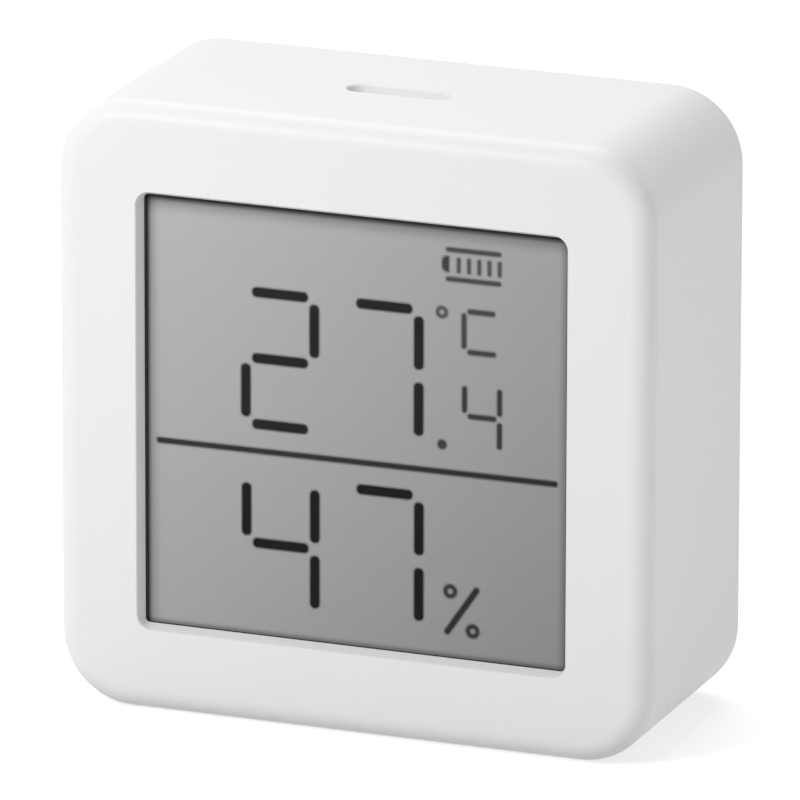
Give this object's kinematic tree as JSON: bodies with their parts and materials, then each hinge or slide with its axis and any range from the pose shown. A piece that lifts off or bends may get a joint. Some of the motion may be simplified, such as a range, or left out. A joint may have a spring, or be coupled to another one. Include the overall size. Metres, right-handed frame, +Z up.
{
  "type": "temperature humidity sensor",
  "caption": "Square desk thermo-hygrometer with a recessed segment display, an air slot in the top, and a back cover with a fold-out stand.",
  "frame": {"origin": "middle of the underside of the housing, on the surface that it stands on", "axes": "+Z up, +X to the right as seen from the front, +Y from the display to the back"},
  "size_m": [0.055, 0.024, 0.055],
  "materials": {
    "white_shell": "fine satin moulded",
    "white_cover": "fine satin moulded",
    "white_stand": "fine satin moulded",
    "white_button": "satin",
    "inner_plastic": "moulded",
    "frame_plastic": "moulded",
    "black_foam": "closed cell foam",
    "elastomer": "striped elastomer",
    "display_film": "polarising film",
    "display_glass": "polished",
    "board": "solder mask over glass fibre",
    "chip_black": "moulded package",
    "ceramic_tan": "fired ceramic",
    "can_steel": "plated",
    "contact_steel": "nickel plated spring steel",
    "copper": "gold flashed copper",
    "magnet_steel": "nickel plated",
    "screw_steel": "zinc plated",
    "cell_jacket": "dark film sleeve"
  },
  "bodies": {
    "case": {"front_housing": "white_shell", "lcd_gasket": "black_foam", "lcd_polarizer": "display_film", "lcd_front_glass": "display_glass", "lcd_rear_glass": "display_glass", "lcd_reflector": "display_film", "lcd_frame": "frame_plastic", "zebra_connector": "elastomer", "main_board": "board", "controller_chip": "chip_black", "display_driver": "chip_black", "crystals": "can_steel", "chip_capacitors": "ceramic_tan", "board_antenna": "copper", "humidity_sensor": "chip_black", "sensor_seal": "black_foam", "air_duct": "inner_plastic", "vent_baffle": "white_shell", "tact_switch": "chip_black", "battery_tray": "inner_plastic", "upper_cell": "cell_jacket", "lower_cell": "cell_jacket", "negative_contact": "contact_steel", "positive_contact": "contact_steel", "bridge_contact": "contact_steel", "upper_spring": "contact_steel", "lower_spring": "contact_steel", "case_screws": "screw_steel", "board_screws": "screw_steel"},
    "cover": {"battery_cover": "white_cover", "cover_magnets": "magnet_steel"},
    "stand": {"kickstand": "white_stand"},
    "button": {"rear_button": "white_button", "switch_plunger": "inner_plastic"}
  },
  "joints": [
    {"name": "cover_tip", "type": "hinge", "parent": "case", "child": "cover", "pos_m": [0, 0.012, 0.0532], "axis": [1, 0, 0], "range_deg": [0, 75]},
    {"name": "stand_fold", "type": "hinge", "parent": "cover", "child": "stand", "pos_m": [0, 0.01105, 0.0402], "axis": [1, 0, 0], "range_deg": [0, 40]},
    {"name": "button_press", "type": "slide", "parent": "case", "child": "button", "axis": [0, -1, 0], "range_m": [0, 0.0004], "stiffness_N_per_m": 1500}
  ]
}
